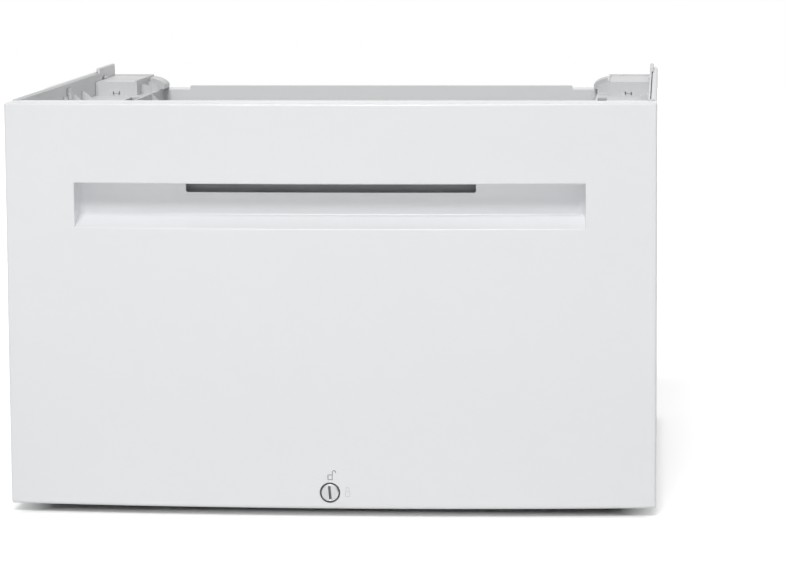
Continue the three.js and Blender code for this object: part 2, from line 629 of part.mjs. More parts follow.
// Threaded stud with its hexagon, standing on the pad.
function stud(x, d) {
  const hex = solid(extruded(hexagon(NUT_FLATS), BODY_BASE - FOOT_PAD_HEIGHT - 2 * FIT)
    .translate(x, at(d), FOOT_PAD_HEIGHT + FIT));
  const shank = rod(STUD_RADIUS, [x, at(d), FOOT_PAD_HEIGHT + 1],
    [x, at(d), FOOT_PAD_HEIGHT + STUD_LENGTH]);
  return join(hex, shank);
}

function footNut(x, d) {
  const bottom = RAIL_BASE + SKIN + FIT;
  return cut(solid(extruded(hexagon(NUT_FLATS), NUT_HEIGHT).translate(x, at(d), bottom)),
    rod(STUD_RADIUS + FIT, [x, at(d), bottom - 1], [x, at(d), bottom + NUT_HEIGHT + 1]));
}

for (const [end, d] of Object.entries(FOOT_DEPTHS)) {
  pair(pedestal, `foot_pad_${end}`, foot(-FOOT_X, d), rubber);
  pair(pedestal, `foot_stud_${end}`, stud(-FOOT_X, d), zinc);
  pair(carcass, `foot_nut_${end}`, footNut(-FOOT_X, d), zinc);
}

// Rubber buffers on the front of the side walls, against which the drawer front closes.
const [lowMargin, highMargin] = BUFFER_MARGINS;
[BODY_BASE + lowMargin, under(highMargin)].forEach((z, i) => {
  const buffer = rod(BUFFER_RADIUS, [left(BUFFER_U), at(LINER_BACK + FIT), z],
    [left(BUFFER_U), at(BODY_START - FIT), z]);
  pair(carcass, `buffer_${['low', 'high'][i]}`, buffer, rubber);
});

// ---- Drawer front -------------------------------------------------------------------------

// Plan of the front, drawn in by the inset: bowed before, square behind.
function frontPlan(inset, backD, radius) {
  const half = FRONT_WIDTH / 2 - inset;
  const face = Array.from({ length: BOW_STEPS - 1 }, (_, i) => {
    const x = -half + 2 * half * (i + 1) / BOW_STEPS;
    return [x, at(inset) - bow(x)];
  });
  return rounded([
    [half, at(backD)], [-half, at(backD)], [-half, at(inset) - bow(half), radius],
    ...face, [half, at(inset) - bow(half), radius],
  ], 3);
}

// The recess as a solid, grown on all sides by the thickness of its walls.
function recess(grow) {
  const half = RECESS_WIDTH / 2 + grow;
  const depth = RECESS_DEPTH + grow;
  const corner = RECESS_CORNER + grow;
  const steps = 18;
  const back = Array.from({ length: steps - 1 }, (_, i) => {
    const x = half - 2 * half * (i + 1) / steps;
    return [x, at(depth) - bow(x)];
  });
  const plan = rounded([
    [-half, at(-FRONT_BOW - 5)], [half, at(-FRONT_BOW - 5)],
    [half, at(depth) - bow(half), Math.min(corner, 2 * half / steps)], ...back,
    [-half, at(depth) - bow(half), Math.min(corner, 2 * half / steps)],
  ], 4);
  const top = CEILING + grow;
  const bottom = CEILING - RECESS_HEIGHT - grow;
  const section = rounded([
    [-6, top], [depth, top], [depth, bottom + SCOOP_RISE, SCOOP_RADIUS],
    [SCOOP_START, bottom], [-6, bottom],
  ], 5);
  return alongZ(plan, bottom - 1, top + 1).intersect(bowed(section, -half - 1, half + 1));
}

function drawerFront() {
  const shape = { bevelEnabled: true, bevelThickness: FRONT_EDGE, bevelSize: FRONT_EDGE,
    bevelOffset: -FRONT_EDGE, bevelSegments: 3 };
  const past = FRONT_RIM + 4 * FRONT_EDGE; // the rounded block is cut off square at the rim
  const rounding = extruded(
    frontPlan(0, past, FRONT_EDGE + 0.5), FRONT_HEIGHT - 2 * FRONT_EDGE, shape);
  const hull = solid(rounding.translate(0, 0, FLOOR_GAP + FRONT_EDGE));
  const outer = cut(hull, block(
    -FRONT_WIDTH, FRONT_WIDTH, at(FRONT_RIM), at(past + 1), 0, FRONT_TOP + 1));
  const hollow = alongZ(
    frontPlan(FRONT_WALL, FRONT_RIM + 1, 1), FLOOR_GAP + FRONT_WALL, FRONT_TOP - FRONT_WALL);
  const bossX = FRONT_WIDTH / 2 - BOSS_INSET;
  const bossZ = [FLOOR_GAP + BOSS_MARGIN, CEILING - 2 * RECESS_HEIGHT, FRONT_TOP - BOSS_MARGIN];
  const bosses = [-bossX, bossX].flatMap((x) => bossZ.map((z) =>
    rod(BOSS_RADIUS, [x, at(1) - bow(x), z], [x, at(LINER_D - FIT), z], 12)));
  const finger = alongY(rounded([
    [-SLOT_WIDTH / 2, CEILING - SLOT_HEIGHT, SLOT_CORNER],
    [SLOT_WIDTH / 2, CEILING - SLOT_HEIGHT, SLOT_CORNER],
    [SLOT_WIDTH / 2, CEILING], [-SLOT_WIDTH / 2, CEILING],
  ], 3), at(RECESS_DEPTH - FRONT_BOW - 3), at(RECESS_DEPTH + FRONT_WALL));
  const lockHole = rod(LOCK_RING_RADIUS + FIT,
    [0, at(-FRONT_BOW - 2), LOCK_Z], [0, at(0), LOCK_Z], 32);
  const walls = join(cut(outer, hollow), recess(FRONT_WALL).intersect(outer), ...bosses);
  return cut(walls, recess(0), finger, lockHole);
}

// Dark finger pocket behind the slot: a trough that reaches up behind the recess ceiling.
function gripPocket() {
  const start = RECESS_DEPTH + FRONT_WALL + FIT;
  const half = SLOT_WIDTH / 2 + 3 * POCKET_WALL;
  const top = CEILING + POCKET_RISE;
  const bottom = CEILING - SLOT_HEIGHT - POCKET_WALL;
  const hood = (grow, front) => rounded([
    [front, top + grow, 2], [start + POCKET_DEPTH + grow, top + grow, 4 + grow],
    [start + POCKET_DEPTH + grow, bottom - grow, 6 + grow], [front, bottom - grow, 0.5],
  ], 4);
  const outer = bowed(hood(0, start), -half, half);
  const inner = bowed(hood(-POCKET_WALL, start + POCKET_WALL), -half + POCKET_WALL, half - POCKET_WALL);
  const mouth = bowed([
    [start - 1, CEILING - SLOT_HEIGHT], [start + 2 * POCKET_WALL, CEILING - SLOT_HEIGHT],
    [start + 2 * POCKET_WALL, CEILING], [start - 1, CEILING],
  ], -SLOT_WIDTH / 2, SLOT_WIDTH / 2);
  return cut(outer, inner, mouth);
}

// Sheet liner that closes the shell from behind and carries the tray.
function frontLiner() {
  const half = FRONT_WIDTH / 2 - FRONT_WALL - FIT;
  const low = FLOOR_GAP + FRONT_WALL + FIT;
  const high = FRONT_TOP - FRONT_WALL - FIT;
  const rim = 8;
  return cut(
    block(-half, half, at(LINER_D - rim), at(LINER_BACK), low, high),
    block(-half + SHEET, half - SHEET, at(LINER_D - rim - 1), at(LINER_D), low + SHEET, high - SHEET),
    rod(LOCK_NOSE_RADIUS + FIT, [0, at(LINER_D - 1), LOCK_Z], [0, at(LINER_BACK + 1), LOCK_Z], 24),
  );
}

place(drawer, 'drawer_front', drawerFront(), gloss);
place(drawer, 'grip_pocket', gripPocket(), pocketGrey);
place(drawer, 'front_liner', frontLiner(), enamel);

// ---- Drawer tray --------------------------------------------------------------------------

// Side of the tray: rolled edge above, a narrow foot under the floor, a flange to the liner.
function traySide() {
  const mid = SHEET / 2;
  const outer = -TRAY_HALF;
  const [hemWidth, hemDrop] = TRAY_HEM;
  const section = folded([
    [outer - hemWidth + mid, TRAY_TOP - hemDrop], [outer - hemWidth + mid, TRAY_TOP - mid, 1.5],
    [outer + mid, TRAY_TOP - mid, 1.5], [outer + mid, TRAY_FLOOR + mid, TRAY_BEND],
    [outer + TRAY_FOOT, TRAY_FLOOR + mid],
  ], SHEET);
  return join(
    alongY(section, at(TRAY_D - mid), at(TRAY_D + TRAY_LENGTH)),
    block(outer - TRAY_FLANGE, outer + SHEET, at(TRAY_D - SHEET), at(TRAY_D), TRAY_FLOOR + 3, TRAY_TOP),
  );
}

// Floor with pressed beads; it rests on the feet of the sides.
function trayFloor() {
  const mid = SHEET / 2;
  const z = TRAY_FLOOR + SHEET + FIT + mid;
  const half = TRAY_HALF - SHEET - TRAY_BEND;
  const beads = Array.from({ length: BEAD_COUNT }, (_, i) => BEAD_PITCH * (i - (BEAD_COUNT - 1) / 2));
  const section = folded([
    [-half, z],
    ...beads.flatMap((x) => [
      [x - BEAD_WIDTH / 2, z], [x - BEAD_WIDTH / 2 + BEAD_HEIGHT, z + BEAD_HEIGHT],
      [x + BEAD_WIDTH / 2 - BEAD_HEIGHT, z + BEAD_HEIGHT], [x + BEAD_WIDTH / 2, z]]),
    [half, z],
  ], SHEET);
  return alongY(section, at(TRAY_D), at(TRAY_D + TRAY_LENGTH));
}

function trayBack() {
  const mid = SHEET / 2;
  const d = TRAY_D + TRAY_LENGTH + FIT + mid;
  const [hemWidth, hemDrop] = TRAY_HEM;
  return alongX(folded([
    [at(d), TRAY_FLOOR], [at(d), TRAY_TOP - mid, 1.5],
    [at(d + hemWidth), TRAY_TOP - mid, 1.5], [at(d + hemWidth), TRAY_TOP - hemDrop],
  ], SHEET), -TRAY_HALF, TRAY_HALF);
}

pair(drawer, 'tray_side', traySide(), enamel);
place(drawer, 'tray_floor', trayFloor(), enamel);
place(drawer, 'tray_back', trayBack(), enamel);

// ---- Lock ---------------------------------------------------------------------------------
// Its pieces turn about Y: heights in the profiles run from the face (negative d) to the back.

const FACE_D = -FRONT_BOW;
const atLock = (geometry) => solid(geometry.translate(0, EDGE_Y, LOCK_Z));

// Bore or shank along the axis of the lock between two depths.
const lockRod = (radius, d0, d1, sides) => rod(radius, [0, at(d0), LOCK_Z], [0, at(d1), LOCK_Z], sides);

// Bush with a ring before the shell, a flange behind it and a nose through the liner.
function lockBush() {
  const ring = LOCK_RING_RADIUS;
  const face = FACE_D - LOCK_PROUD / 2;
  const flange = FACE_D + FRONT_WALL + FIT;
  const noseEnd = LINER_BACK + LOCK_NUT_HEIGHT + 2 * FIT;
  const body = atLock(turned([
    [0, face], [ring - 0.4, face], [ring, face + 0.4],
    [ring, flange], [ring + LOCK_FLANGE, flange],
    [ring + LOCK_FLANGE, flange + LOCK_FLANGE], [ring, flange + LOCK_FLANGE],
    [ring, LINER_D - FIT], [LOCK_NOSE_RADIUS, LINER_D - FIT],
    [LOCK_NOSE_RADIUS, noseEnd], [0, noseEnd],
  ], 32));
  const well = FACE_D - LOCK_PROUD + LOCK_HEAD_DEPTH + FIT;
  return cut(body,
    lockRod(LOCK_HEAD_RADIUS + FIT, face - 1, well, 32),
    lockRod(LOCK_CORE_RADIUS + FIT, well - 1, noseEnd + 1, 24));
}

function lockNut() {
  const hex = extruded(hexagon(LOCK_NUT_FLATS), LOCK_NUT_HEIGHT).applyMatrix4(ALONG_Y);
  const end = LINER_BACK + FIT + LOCK_NUT_HEIGHT;
  return cut(solid(hex.translate(0, at(end), LOCK_Z)),
    lockRod(LOCK_NOSE_RADIUS + FIT, LINER_BACK, end + 1, 24));
}

function lockCylinder() {
  const face = FACE_D - LOCK_PROUD;
  const end = CAM_D - FIT;
  const [width, length, depth] = COIN_SLOT;
  const body = atLock(turned([
    [0, face], [LOCK_HEAD_RADIUS - 0.8, face], [LOCK_HEAD_RADIUS, face + 0.8],
    [LOCK_HEAD_RADIUS, face + LOCK_HEAD_DEPTH], [LOCK_CORE_RADIUS, face + LOCK_HEAD_DEPTH],
    [LOCK_CORE_RADIUS, end], [0, end],
  ], 32));
  const slot = block(-width / 2, width / 2, at(face - 1), at(face + depth), -length / 2, length / 2)
    .rotate([0, -COIN_SLOT_TILT, 0]).translate([0, 0, LOCK_Z]);
  return cut(body, slot,
    lockRod(CAM_SCREW_RADIUS + FIT, end - CAM_SCREW_DEPTH - 1, end + 1, 12));
}

// The cam points up while the lock is open and swings behind the base rail when it is shut.
function lockCam() {
  const half = CAM_WIDTH / 2;
  const outline = rounded([
    [-half, LOCK_Z - half, half - 0.1], [half, LOCK_Z - half, half - 0.1],
    [half, LOCK_Z + CAM_REACH, 2], [-half, LOCK_Z + CAM_REACH, 2],
  ]);
  return cut(alongY(outline, at(CAM_D), at(CAM_D + CAM_THICKNESS)),
    lockRod(CAM_SCREW_RADIUS + FIT, CAM_D - 1, CAM_D + CAM_THICKNESS + 1, 12));
}

function camScrew() {
  const seat = CAM_D + CAM_THICKNESS + FIT;
  const tip = CAM_D - FIT - CAM_SCREW_DEPTH;
  return atLock(turned([
    [0, tip], [CAM_SCREW_RADIUS, tip], [CAM_SCREW_RADIUS, seat], [CAM_SCREW_HEAD, seat],
    [CAM_SCREW_HEAD, seat + 1], [CAM_SCREW_HEAD - 1, seat + 1.9], [0, seat + 2.1],
  ], 12));
}

place(drawer, 'lock_bush', lockBush(), nickel);
place(drawer, 'lock_nut', lockNut(), zinc);
place(lock, 'lock_cylinder', lockCylinder(), nickel);
place(lock, 'lock_cam', lockCam(), zinc);
place(lock, 'cam_screw', camScrew(), zinc);

export default pedestal;
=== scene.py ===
"""The looks of a pedestal with a pull-out drawer for a 60 cm washing machine.

Metres, +Z up, the drawer opens towards -Y, and the floor is z = 0.
"""

import math

import bmesh
import bpy
from mathutils import Matrix, Vector


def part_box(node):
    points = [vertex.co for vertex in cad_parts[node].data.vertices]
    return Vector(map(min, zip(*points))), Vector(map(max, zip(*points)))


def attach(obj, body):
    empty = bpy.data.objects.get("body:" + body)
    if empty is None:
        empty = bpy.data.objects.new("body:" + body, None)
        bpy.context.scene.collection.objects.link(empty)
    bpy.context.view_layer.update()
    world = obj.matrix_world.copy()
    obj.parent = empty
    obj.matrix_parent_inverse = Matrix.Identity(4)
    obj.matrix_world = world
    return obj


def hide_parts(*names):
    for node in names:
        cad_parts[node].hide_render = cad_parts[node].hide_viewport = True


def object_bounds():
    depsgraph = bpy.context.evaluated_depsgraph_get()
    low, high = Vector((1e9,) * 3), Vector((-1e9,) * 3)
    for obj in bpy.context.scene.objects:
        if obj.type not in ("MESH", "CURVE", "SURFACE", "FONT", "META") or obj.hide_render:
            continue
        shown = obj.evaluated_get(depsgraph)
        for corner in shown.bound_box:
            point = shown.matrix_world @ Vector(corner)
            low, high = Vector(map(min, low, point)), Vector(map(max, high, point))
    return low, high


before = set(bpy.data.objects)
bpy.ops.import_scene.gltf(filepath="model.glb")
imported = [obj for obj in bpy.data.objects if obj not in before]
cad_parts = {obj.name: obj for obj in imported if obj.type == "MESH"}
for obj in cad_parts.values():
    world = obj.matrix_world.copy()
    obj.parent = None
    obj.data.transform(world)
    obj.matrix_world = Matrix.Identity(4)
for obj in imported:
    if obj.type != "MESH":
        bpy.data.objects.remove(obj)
cad_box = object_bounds()


# ---- Side walls -----------------------------------------------------------------------------
# Each wall is a folded panel of 1 mm steel, powder coated white after forming, and the coat
# dries with a faint orange peel. Its inner skin has a thinner and duller coat.

def group_tree(name, inputs, outputs):
    """An empty shader group with its sockets: (name, kind, default) in, (name, kind) out."""
    tree = bpy.data.node_groups.new(name, "ShaderNodeTree")
    for label, kind, value in inputs:
        socket = tree.interface.new_socket(label, in_out="INPUT", socket_type=kind)
        if value is not None:
            socket.default_value = value
    for label, kind in outputs:
        tree.interface.new_socket(label, in_out="OUTPUT", socket_type=kind)
    return tree, tree.nodes.new("NodeGroupInput"), tree.nodes.new("NodeGroupOutput")


def grain_group():
    """Fine relief of a surface, as a normal."""
    tree, given, out = group_tree(
        "surface_grain",
        [("Vector", "NodeSocketVector", None), ("Scale", "NodeSocketFloat", 900.0),
         ("Detail", "NodeSocketFloat", 2.0), ("Depth", "NodeSocketFloat", 0.00002)],
        [("Normal", "NodeSocketVector")])
    noise = tree.nodes.new("ShaderNodeTexNoise")
    bump = tree.nodes.new("ShaderNodeBump")
    bump.inputs["Strength"].default_value = 1.0
    tree.links.new(given.outputs["Vector"], noise.inputs["Vector"])
    tree.links.new(given.outputs["Scale"], noise.inputs["Scale"])
    tree.links.new(given.outputs["Detail"], noise.inputs["Detail"])
    tree.links.new(given.outputs["Depth"], bump.inputs["Distance"])
    tree.links.new(noise.outputs["Fac"], bump.inputs["Height"])
    tree.links.new(bump.outputs["Normal"], out.inputs["Normal"])
    return tree


def cloud_group():
    """Broad soft unevenness of a finish, as a value from Low to High."""
    tree, given, out = group_tree(
        "finish_clouds",
        [("Vector", "NodeSocketVector", None), ("Scale", "NodeSocketFloat", 12.0),
         ("Low", "NodeSocketFloat", 0.0), ("High", "NodeSocketFloat", 1.0)],
        [("Value", "NodeSocketFloat")])
    noise = tree.nodes.new("ShaderNodeTexNoise")
    noise.inputs["Detail"].default_value = 3.0
    spread = tree.nodes.new("ShaderNodeMapRange")
    spread.inputs["From Min"].default_value = 0.35
    spread.inputs["From Max"].default_value = 0.65
    tree.links.new(given.outputs["Vector"], noise.inputs["Vector"])
    tree.links.new(given.outputs["Scale"], noise.inputs["Scale"])
    tree.links.new(noise.outputs["Fac"], spread.inputs["Value"])
    tree.links.new(given.outputs["Low"], spread.inputs["To Min"])
    tree.links.new(given.outputs["High"], spread.inputs["To Max"])
    tree.links.new(spread.outputs["Result"], out.inputs["Value"])
    return tree


SURFACE_GRAIN = grain_group()
FINISH_CLOUDS = cloud_group()


class Finish:
    """A material under construction: its shader, object coordinates and links."""

    def __init__(self, name, color, roughness, metallic=0.0):
        self.material = bpy.data.materials.new(name)
        self.material.use_nodes = True
        self.tree = self.material.node_tree
        self.shader = self.tree.nodes["Principled BSDF"]
        self.shader.inputs["Base Color"].default_value = (*color, 1.0)
        self.shader.inputs["Roughness"].default_value = roughness
        self.shader.inputs["Metallic"].default_value = metallic
        self.color = color
        self.place = self.add("ShaderNodeTexCoord").outputs["Object"]

    def add(self, kind, **values):
        """A new node, with its settings."""
        node = self.tree.nodes.new(kind)
        for key, value in values.items():
            setattr(node, key, value)
        return node

    def group(self, tree, **values):
        """A shader group on the object coordinates, with its own values."""
        node = self.add("ShaderNodeGroup", node_tree=tree)
        self.link(self.place, node.inputs["Vector"])
        for key, value in values.items():
            node.inputs[key].default_value = value
        return node

    def link(self, source, target):
        self.tree.links.new(source, target)

    def grain(self, scale, depth, detail=2.0):
        """Gives the surface a fine relief."""
        node = self.group(SURFACE_GRAIN, Scale=scale, Depth=depth, Detail=detail)
        self.link(node.outputs["Normal"], self.shader.inputs["Normal"])

    def clouds(self, scale, low, high):
        """Lets the roughness wander softly between two values."""
        node = self.group(FINISH_CLOUDS, Scale=scale, Low=low, High=high)
        self.link(node.outputs["Value"], self.shader.inputs["Roughness"])

    def tint(self, fac, other):
        """The base colour runs from the material's own to another one along a mask."""
        mix = self.add("ShaderNodeMix", data_type="RGBA")
        mix.inputs["A"].default_value = (*self.color, 1.0)
        mix.inputs["B"].default_value = (*other, 1.0)
        self.link(fac, mix.inputs["Factor"])
        self.link(mix.outputs["Result"], self.shader.inputs["Base Color"])


SMOOTH_ANGLE = math.radians(40)


def shading_group():
    """Shades bends smooth and leaves folded edges sharp, on a mesh of loose triangles."""
    tree = bpy.data.node_groups.new("smooth_bends", "GeometryNodeTree")
    tree.interface.new_socket("Mesh", in_out="INPUT", socket_type="NodeSocketGeometry")
    tree.interface.new_socket("Mesh", in_out="OUTPUT", socket_type="NodeSocketGeometry")
    given = tree.nodes.new("NodeGroupInput")
    out = tree.nodes.new("NodeGroupOutput")
    bare = tree.nodes.new("GeometryNodeRemoveAttribute")
    bare.inputs["Name"].default_value = "custom_normal"
    faces = tree.nodes.new("GeometryNodeSetShadeSmooth")
    edges = tree.nodes.new("GeometryNodeSetShadeSmooth")
    edges.domain = "EDGE"
    angle = tree.nodes.new("GeometryNodeInputMeshEdgeAngle")
    flat = tree.nodes.new("FunctionNodeCompare")
    flat.operation = "LESS_THAN"
    flat.inputs["B"].default_value = SMOOTH_ANGLE
    tree.links.new(given.outputs[0], bare.inputs["Geometry"])
    tree.links.new(bare.outputs["Geometry"], faces.inputs["Geometry"])
    tree.links.new(faces.outputs["Geometry"], edges.inputs["Geometry"])
    tree.links.new(angle.outputs["Unsigned Angle"], flat.inputs["A"])
    tree.links.new(flat.outputs["Result"], edges.inputs["Shade Smooth"])
    tree.links.new(edges.outputs["Geometry"], out.inputs[0])
    return tree


SMOOTH_BENDS = shading_group()
WELD_REACH = 0.00001
PLAIN_ANGLE = math.radians(0.5)
ROUNDED_ANGLE = math.radians(50)
SHEET_EDGE = 0.0003


def finish_node(name, material, edge=SHEET_EDGE, segments=2):
    """Gives a piece its material, and its edges the small rounding of the real one."""
    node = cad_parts[name]
    for slot in node.material_slots:
        slot.material = material
    weld = node.modifiers.new("weld", "WELD")
    weld.merge_threshold = WELD_REACH
    plain = node.modifiers.new("plain_faces", "DECIMATE")
    plain.decimate_type = "DISSOLVE"
    plain.angle_limit = PLAIN_ANGLE
    if edge:
        bevel = node.modifiers.new("edge_rounding", "BEVEL")
        bevel.limit_method = "ANGLE"
        bevel.angle_limit = ROUNDED_ANGLE
        bevel.width = edge
        bevel.segments = segments
    node.modifiers.new("smooth_bends", "NODES").node_group = SMOOTH_BENDS
    weighted = node.modifiers.new("even_normals", "WEIGHTED_NORMAL")
    weighted.keep_sharp = True


ENAMEL_WHITE = (0.80, 0.81, 0.82)
enamel = Finish("white_enamel", ENAMEL_WHITE, 0.34)
enamel.grain(scale=700, depth=0.000012)
enamel.clouds(scale=9, low=0.30, high=0.40)

SKIN_WHITE = (0.78, 0.785, 0.795)
primer = Finish("primer_white", SKIN_WHITE, 0.45)
primer.grain(scale=900, depth=0.000012)
primer.clouds(scale=14, low=0.40, high=0.52)

for side in ("left", "right"):
    finish_node(f"side_panel_{side}", enamel.material)
    finish_node(f"inner_skin_{side}", primer.material)


# ---- Support mouldings ----------------------------------------------------------------------
# One injection moulding of glass-filled polypropylene lies along each wall and carries the
# machine's feet. Its faces are spark-eroded matt, its edges have the mould's small radius.

MOULDING_WHITE = (0.69, 0.695, 0.705)
CLIP_WHITE = (0.86, 0.865, 0.87)
MOULD_RADIUS = 0.0006
moulding = Finish("moulded_supports", MOULDING_WHITE, 0.42)
moulding.grain(scale=1600, depth=0.00003, detail=3.0)
moulding.clouds(scale=25, low=0.36, high=0.50)
clip_nylon = Finish("clip_nylon", CLIP_WHITE, 0.45)
clip_nylon.grain(scale=1800, depth=0.00002)
clip_nylon.clouds(scale=40, low=0.38, high=0.50)

for side in ("left", "right"):
    finish_node(f"support_rail_{side}", moulding.material, edge=MOULD_RADIUS)
    for number in (1, 2, 3):
        finish_node(f"wall_clip_{number}_{side}", clip_nylon.material)


# ---- Rear panel and cross rails -------------------------------------------------------------
# The rear panel and the top rail are coated like the walls, but the rear panel's white is lighter,
# as painted light; the base rails stay zinc-plated.
# Screws with pan heads hold the panel to the mouldings and to the rear base rail.

ZINC_GREY = (0.55, 0.56, 0.57)
ZINC_PALE = (0.59, 0.60, 0.61)
CRYSTALS_PER_METRE = 160
zinc = Finish("zinc_plate", ZINC_GREY, 0.36, metallic=1.0)
crystals = zinc.add("ShaderNodeTexVoronoi")
crystals.inputs["Scale"].default_value = CRYSTALS_PER_METRE
zinc.link(zinc.place, crystals.inputs["Vector"])
zinc.grain(scale=2200, depth=0.000008)
zinc.clouds(scale=40, low=0.30, high=0.46)
tone = zinc.add("ShaderNodeSeparateColor")
zinc.link(crystals.outputs["Color"], tone.inputs["Color"])
zinc.tint(tone.outputs["Red"], ZINC_PALE)

# Painted light: the rear panel's white is lighter than the walls' coat, to brighten the panel.
PANEL_LIGHTENED_WHITE = (0.87, 0.875, 0.88)
panel_coat_painted_light = Finish("panel_coat_painted_light", PANEL_LIGHTENED_WHITE, 0.4)
panel_coat_painted_light.grain(scale=800, depth=0.000014)
panel_coat_painted_light.clouds(scale=7, low=0.34, high=0.46)

finish_node("rear_panel", panel_coat_painted_light.material)
finish_node("top_rail_front", enamel.material)
finish_node("base_rail_front", zinc.material)
finish_node("base_rail_rear", zinc.material)

PANEL_SHEET = 0.0012
PANEL_FLANGE = 0.007
PANEL_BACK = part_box("rear_panel")[1].y - PANEL_FLANGE + PANEL_SHEET
PANEL_SCREW_X = 0.270
PANEL_SCREW_HIGH = 0.345
PANEL_SCREW_LOW = 0.022
SCREW_RADIUS = 0.0031
SCREW_HEIGHT = 0.0018
SHARP_ANGLE = math.radians(30)


def make_piece(bm, name, material, body):
    """A finished mesh as a piece that rides on a body."""
    bmesh.ops.recalc_face_normals(bm, faces=bm.faces[:])
    mesh = bpy.data.meshes.new(name)
    bm.to_mesh(mesh)
    bm.free()
    mesh.shade_smooth()
    mesh.set_sharp_from_angle(angle=SHARP_ANGLE)
    mesh.materials.append(material)
    piece = bpy.data.objects.new(name, mesh)
    bpy.context.scene.collection.objects.link(piece)
    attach(piece, body)
    return piece


def add_screw(bm, place):
    """A pan head with a socket, standing out backwards from a sheet at the given place."""
    turned = Matrix.Rotation(math.radians(-90), 4, "X")
    middle = Vector(place) + Vector((0, SCREW_HEIGHT / 2, 0))
    head = bmesh.ops.create_cone(bm, cap_ends=True, segments=24, radius1=SCREW_RADIUS,
                                 radius2=SCREW_RADIUS * 0.8, depth=SCREW_HEIGHT,
                                 matrix=Matrix.Translation(middle) @ turned)
    sides = {f for v in head["verts"] for f in v.link_faces}
    top = [f for f in sides if f.calc_center_median().y > place[1] + SCREW_HEIGHT * 0.9]
    bmesh.ops.recalc_face_normals(bm, faces=bm.faces[:])
    bmesh.ops.inset_region(bm, faces=top, thickness=SCREW_RADIUS * 0.4)
    bmesh.ops.inset_region(bm, faces=top, thickness=SCREW_RADIUS * 0.05, depth=-SCREW_HEIGHT * 0.5)


screws = bmesh.new()
for side in (-1, 1):
    add_screw(screws, (side * PANEL_SCREW_X, PANEL_BACK, PANEL_SCREW_HIGH))
for x in (-PANEL_SCREW_X, 0, PANEL_SCREW_X):
    add_screw(screws, (x, PANEL_BACK, PANEL_SCREW_LOW))
make_piece(screws, "panel_screws", zinc.material, "carcass")


# ---- Runners --------------------------------------------------------------------------------
# Three rolled channels of zinc-plated steel run in each other on each side. The outer one is
# fixed to the skin of the wall and the inner one to the tray.

for side in ("left", "right"):
    for part in ("outer", "middle", "inner"):
        finish_node(f"runner_{part}_{side}", zinc.material)


# ---- Levelling feet and buffers -------------------------------------------------------------
# Rubber-soled feet on zinc-plated M10 studs, each held by a nut on a base rail. Buffers of
# the same moulded rubber sit on the front of the walls, where the drawer front meets them.

RUBBER_BLACK = (0.05, 0.05, 0.055)
rubber = Finish("black_rubber", RUBBER_BLACK, 0.75)
rubber.grain(scale=1200, depth=0.00005)
rubber.clouds(scale=60, low=0.66, high=0.85)

# Waves of scale 1 stand pi / 10 apart.
WAVE_LENGTH = math.pi / 10
THREAD_PITCH = 0.0015
THREAD_DEPTH = 0.0003
STUD_GREY = (0.50, 0.51, 0.52)
threaded = Finish("stud_thread", STUD_GREY, 0.36, metallic=1.0)
threaded.clouds(scale=90, low=0.30, high=0.46)
ridges = threaded.add("ShaderNodeTexWave", bands_direction="Z")
ridges.inputs["Scale"].default_value = round(WAVE_LENGTH / THREAD_PITCH)
threaded.link(threaded.place, ridges.inputs["Vector"])
flanks = threaded.add("ShaderNodeBump")
flanks.inputs["Distance"].default_value = THREAD_DEPTH
threaded.link(ridges.outputs["Fac"], flanks.inputs["Height"])
threaded.link(flanks.outputs["Normal"], threaded.shader.inputs["Normal"])

for side in ("left", "right"):
    for end in ("front", "rear"):
        finish_node(f"foot_pad_{end}_{side}", rubber.material, edge=0)
        finish_node(f"foot_stud_{end}_{side}", threaded.material)
        finish_node(f"foot_nut_{end}_{side}", zinc.material)
    for height in ("low", "high"):
        finish_node(f"buffer_{height}_{side}", rubber.material, edge=0)


# ---- Drawer front ---------------------------------------------------------------------------
# A single glossy white moulding, 2.5 mm thick, bowed 15 mm forward across its width, with a
# rim behind its edges, a scooped grip recess, a finger slot and a round hole for the lock.

FRONT_LOW, FRONT_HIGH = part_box("drawer_front")
FRONT_BOW = 0.015
FRONT_RIM_BACK = FRONT_HIGH.y
FRONT_EDGE_Y = FRONT_LOW.y + FRONT_BOW
FRONT_WALL = 0.0025
FRONT_ROUNDING = 0.0025
FRONT_COLUMNS = 96
COLUMN_CLEARANCE = 0.0055
CORNER_COLUMN = 0.004
RECESS_HALF = 0.236
RECESS_TOP = FRONT_HIGH.z - 0.0725
RECESS_BOTTOM = RECESS_TOP - 0.043
RECESS_DEPTH = 0.024
RECESS_CORNER = 0.0085
SCOOP_RISE = 0.010
SCOOP_ROUNDING = 0.006
LIP_ROUNDING = 0.0012
LIP_STEPS = 3
SLOT_HALF = 0.134
SLOT_BOTTOM = RECESS_TOP - 0.011
SLOT_CORNER = 0.002
CORNER_CUTS = 3
RIM_ROUNDING = 0.0004
RIM_ANGLE = math.radians(60)
LOCK_CENTRE = FRONT_LOW.z + 0.0152
LOCK_HOLE = 0.0095
LOCK_SIDES = 32
LOCK_CELL = 0.003125
LOCK_PATCH = 4 * LOCK_CELL
SAME_PLACE = 1e-5


def bow_y(x):
    """Y of the bowed face at x."""
    half = (FRONT_HIGH.x - FRONT_LOW.x) / 2
    radius = (half ** 2 + FRONT_BOW ** 2) / (2 * FRONT_BOW)
    return FRONT_EDGE_Y + radius - FRONT_BOW - math.sqrt(radius ** 2 - x ** 2)


def slice_sheet(bm, axis, places):
    """Cuts the whole mesh across an axis at each place."""
    for place in places:
        at = Vector()
        at[axis] = place
        normal = Vector()
        normal[axis] = 1
        bmesh.ops.bisect_plane(bm, geom=bm.verts[:] + bm.edges[:] + bm.faces[:],
                               plane_co=at, plane_no=normal, dist=1e-6)


def within(face, x_half, z_low, z_high):
    """Whether a face's middle lies in a window of the front."""
    middle = face.calc_center_median()
    return abs(middle.x) < x_half and z_low < middle.z < z_high


